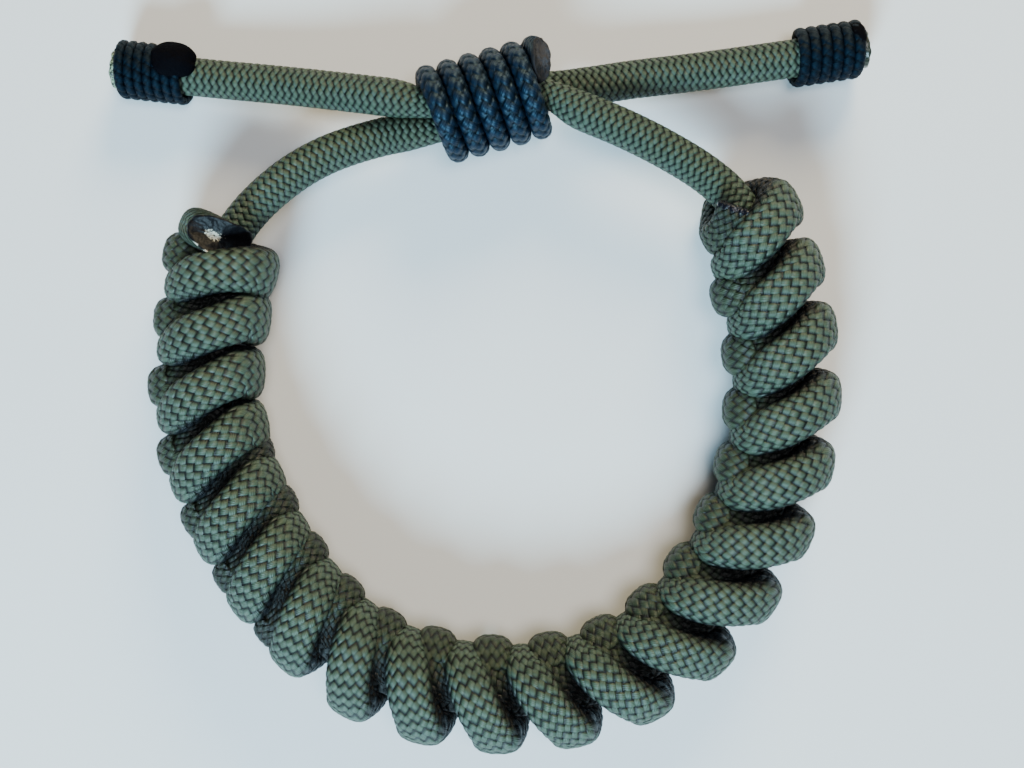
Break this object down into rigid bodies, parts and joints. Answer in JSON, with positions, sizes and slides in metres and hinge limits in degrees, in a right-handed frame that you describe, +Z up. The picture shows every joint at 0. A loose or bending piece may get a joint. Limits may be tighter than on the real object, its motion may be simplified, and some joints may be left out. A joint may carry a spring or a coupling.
{
  "type": "paracord bracelet",
  "caption": "Adjustable cord bracelet: a braided core cord closed by a wound sliding knot, wrapped round the wrist part with a second cord in a spiral.",
  "frame": {"origin": "middle of the wrist opening, on the surface the bracelet lies on", "axes": "+Z up, out of the wrist opening; +Y towards the sliding knot; +X towards the right tail"},
  "size_m": [0.0807, 0.0776, 0.0134],
  "materials": {
    "olive_cord": "braided nylon, olive green, slightly shiny",
    "black_cord": "coarsely braided cord, black",
    "thin_black_cord": "thin twisted cord, black, waxed"
  },
  "bodies": {
    "root": {"core_cord": "olive_cord", "wrap_cord": "olive_cord", "sliding_knot": "black_cord", "left_tip_whipping": "thin_black_cord", "right_tip_whipping": "thin_black_cord"}
  },
  "joints": []
}
